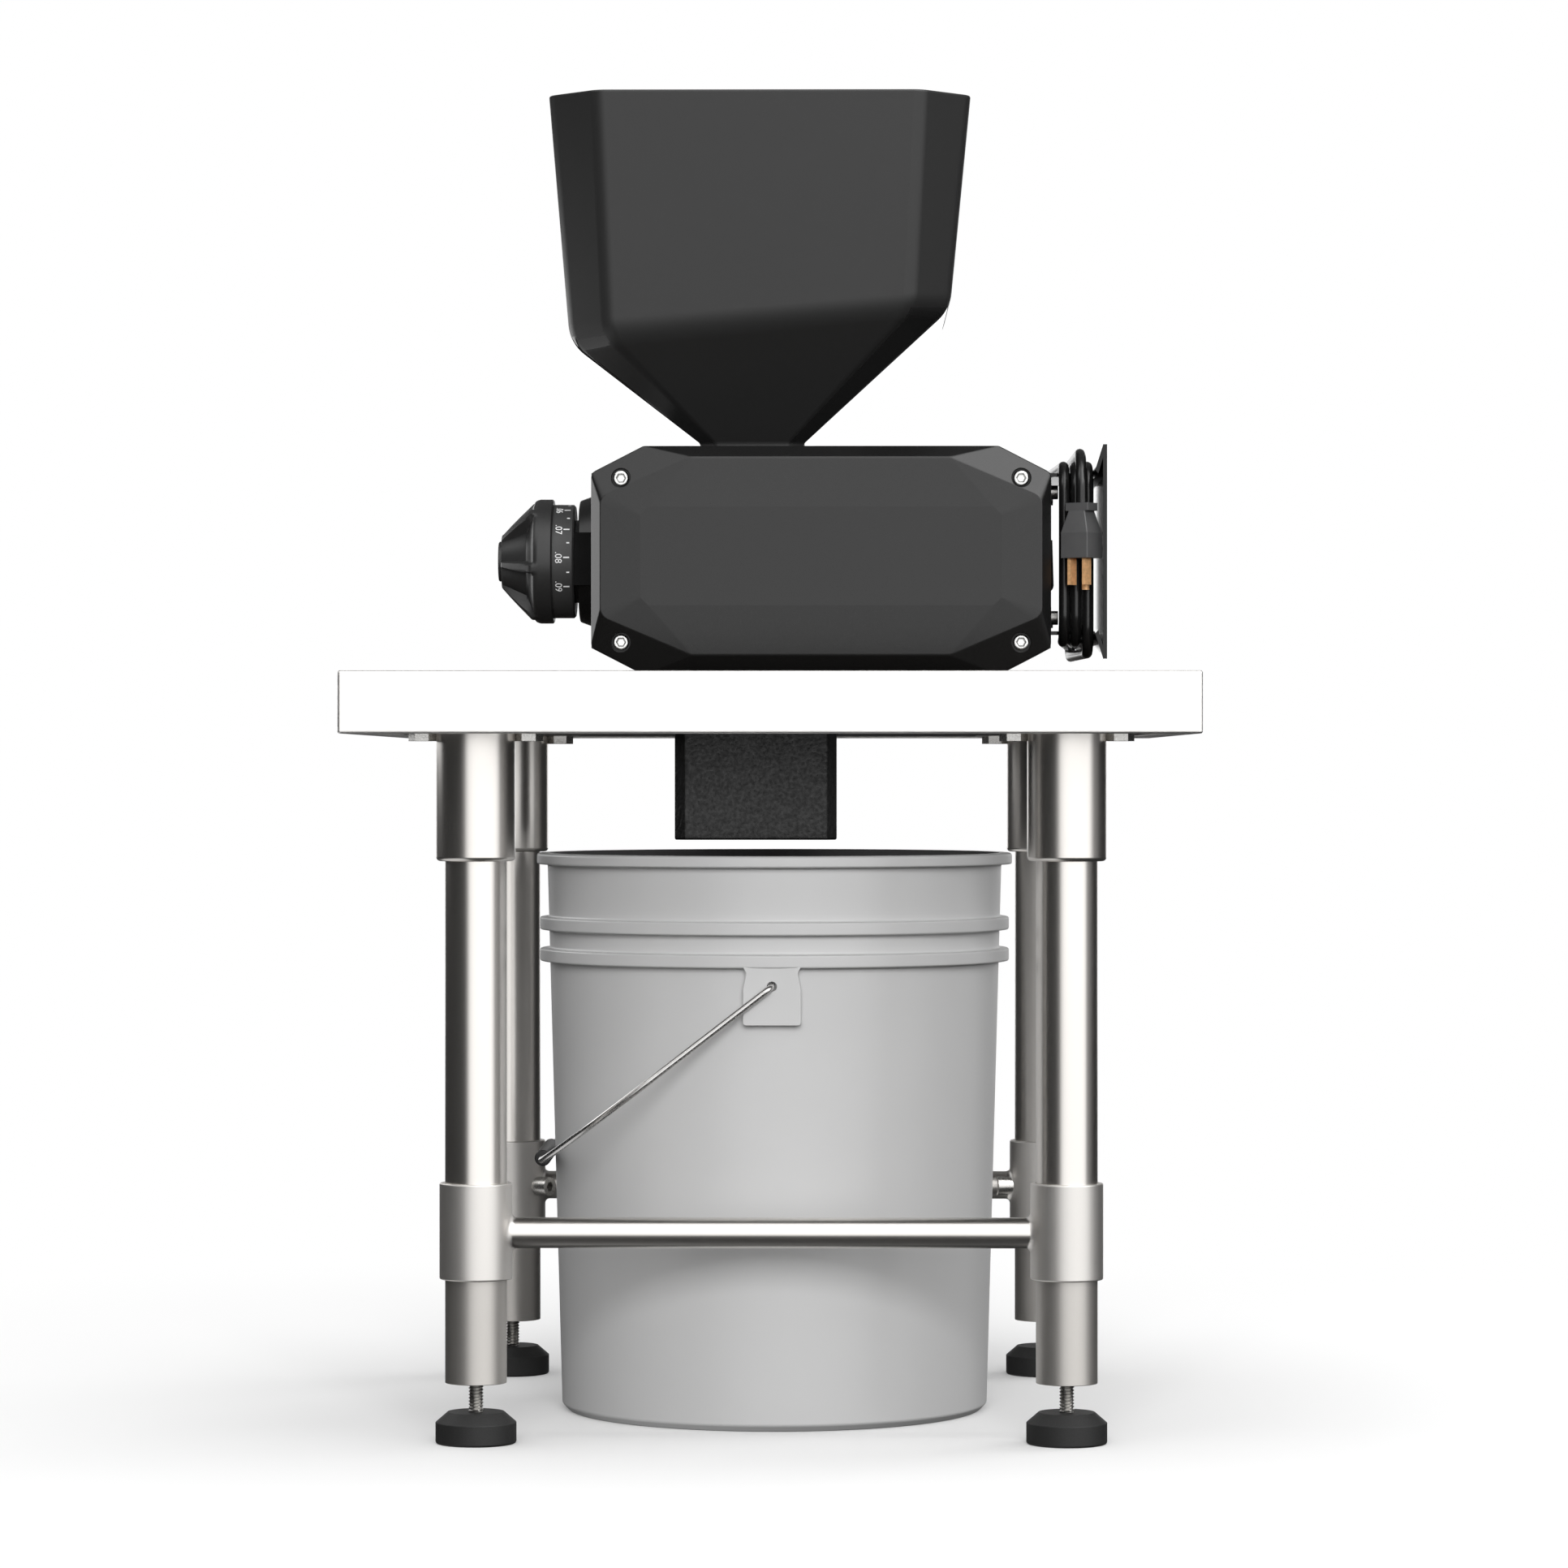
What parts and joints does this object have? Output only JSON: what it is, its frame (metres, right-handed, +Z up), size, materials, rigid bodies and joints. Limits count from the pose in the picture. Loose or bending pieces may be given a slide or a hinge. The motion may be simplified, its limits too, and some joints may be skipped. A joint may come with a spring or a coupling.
{
  "type": "grain mill",
  "caption": "Motorised two-roller grain mill on a four-legged steel stand, with hopper, gap knob, wound supply cord and a catch bucket under its chute.",
  "frame": {"origin": "on the floor under the middle of the stand's four legs", "axes": "+X to the operator's right, +Y away from the operator, +Z up"},
  "size_m": [0.522, 0.54, 0.8435],
  "materials": {
    "stainless_sheet": "fine brushed stainless sheet",
    "board": "raw board",
    "stainless_tube": "satin stainless tube",
    "bolt_steel": "plain zinc-bright fasteners",
    "bright_screw": "bright socket screws",
    "foot_rubber": "moulded rubber",
    "insert_plastic": "moulded plug",
    "black_shell": "fine satin black powder coat",
    "hopper_plastic": "satin dark grey moulding",
    "chute_plastic": "black grained sheet",
    "knob_plastic": "satin black moulding",
    "dial_plastic": "black ring with white numbers",
    "machined_steel": "machined steel",
    "plate_aluminium": "milled plate",
    "motor_paint": "painted motor case",
    "cord_rubber": "black cord sheath",
    "plug_plastic": "moulded plug",
    "blade_brass": "plain brass",
    "switch_plastic": "black moulding",
    "bucket_plastic": "light grey moulded plastic",
    "bail_steel": "drawn wire",
    "grip_plastic": "moulded tube"
  },
  "bodies": {
    "stand": {"table_top": "stainless_sheet", "table_core": "board", "front_stretcher": "stainless_tube", "rear_stretcher": "stainless_tube", "leg_front_left": "stainless_tube", "leg_front_right": "stainless_tube", "leg_rear_left": "stainless_tube", "leg_rear_right": "stainless_tube", "leg_socket_front_left": "stainless_tube", "leg_socket_front_right": "stainless_tube", "leg_socket_rear_left": "stainless_tube", "leg_socket_rear_right": "stainless_tube", "socket_bolts": "bolt_steel", "stretcher_screws": "bolt_steel", "mill_bolts": "bolt_steel", "hopper_screws": "bolt_steel", "wrap_screws": "bolt_steel", "cover_screws": "bright_screw", "leg_inserts": "insert_plastic", "mill_casing": "black_shell", "front_cover": "black_shell", "rear_cover": "black_shell", "knob_flange": "black_shell", "pointer_block": "black_shell", "cord_wrap": "black_shell", "hopper": "hopper_plastic", "chute": "chute_plastic", "drive_bearings": "machined_steel", "front_end_plate": "plate_aluminium", "rear_end_plate": "plate_aluminium", "motor": "motor_paint", "power_cord": "cord_rubber", "cord_gland": "cord_rubber", "plug": "plug_plastic", "plug_blades": "blade_brass", "switch_frame": "switch_plastic"},
    "drive_train": {"drive_roller": "machined_steel", "drive_gear": "machined_steel"},
    "pinion": {"motor_pinion": "machined_steel"},
    "yoke": {"roller_yoke": "plate_aluminium", "idle_bearings": "machined_steel"},
    "idle": {"idle_roller": "machined_steel"},
    "adjuster": {"knob": "knob_plastic", "dial_ring": "dial_plastic", "adjusting_screw": "machined_steel"},
    "rocker": {"switch_rocker": "switch_plastic"},
    "bucket_body": {"bucket": "bucket_plastic"},
    "bail": {"bail_wire": "bail_steel"},
    "grip": {"bail_grip": "grip_plastic"},
    "foot_front_left": {"foot_pad_front_left": "foot_rubber", "foot_stud_front_left": "bolt_steel"},
    "foot_front_right": {"foot_pad_front_right": "foot_rubber", "foot_stud_front_right": "bolt_steel"},
    "foot_rear_left": {"foot_pad_rear_left": "foot_rubber", "foot_stud_rear_left": "bolt_steel"},
    "foot_rear_right": {"foot_pad_rear_right": "foot_rubber", "foot_stud_rear_right": "bolt_steel"}
  },
  "joints": [
    {"name": "level_front_left", "type": "slide", "parent": "stand", "child": "foot_front_left", "axis": [0, 0, -1], "range_m": [-0.017, 0.012]},
    {"name": "level_front_right", "type": "slide", "parent": "stand", "child": "foot_front_right", "axis": [0, 0, -1], "range_m": [-0.017, 0.012]},
    {"name": "level_rear_left", "type": "slide", "parent": "stand", "child": "foot_rear_left", "axis": [0, 0, -1], "range_m": [-0.017, 0.012]},
    {"name": "level_rear_right", "type": "slide", "parent": "stand", "child": "foot_rear_right", "axis": [0, 0, -1], "range_m": [-0.017, 0.012]},
    {"name": "drive_spin", "type": "hinge", "parent": "stand", "child": "drive_train", "pos_m": [0.014, 0, 0.552], "axis": [0, 1, 0], "continuous": true},
    {"name": "pinion_spin", "type": "hinge", "parent": "stand", "child": "pinion", "pos_m": [0.1115, 0, 0.552], "axis": [0, 1, 0], "continuous": true},
    {"name": "knob_turn", "type": "hinge", "parent": "stand", "child": "adjuster", "pos_m": [-0.15, 0, 0.552], "axis": [1, 0, 0], "range_deg": [-90, 150]},
    {"name": "gap_slide", "type": "slide", "parent": "stand", "child": "yoke", "axis": [1, 0, 0], "range_m": [-0.00076, 0.00127]},
    {"name": "idle_spin", "type": "hinge", "parent": "yoke", "child": "idle", "pos_m": [-0.03803, 0, 0.552], "axis": [0, 1, 0], "continuous": true},
    {"name": "switch_tip", "type": "hinge", "parent": "stand", "child": "rocker", "pos_m": [-0.07, 0.128, 0.552], "axis": [1, 0, 0], "range_deg": [-16, 0]},
    {"name": "bucket_out", "type": "slide", "parent": "stand", "child": "bucket_body", "axis": [-1, 0, 0], "range_m": [0, 0.45]},
    {"name": "bail_swing", "type": "hinge", "parent": "bucket_body", "child": "bail", "pos_m": [0, 0, 0.2805], "axis": [0, 1, 0], "range_deg": [0, 85]},
    {"name": "grip_spin", "type": "hinge", "parent": "bail", "child": "grip", "pos_m": [-0.14863, 0, 0.16604], "axis": [0, 1, 0], "continuous": true}
  ],
  "couplings": [
    {"joint": "pinion_spin", "follows": "drive_spin", "ratio": -1.4074},
    {"joint": "knob_turn", "follows": "gap_slide", "rad_per_m": 2061.4}
  ]
}
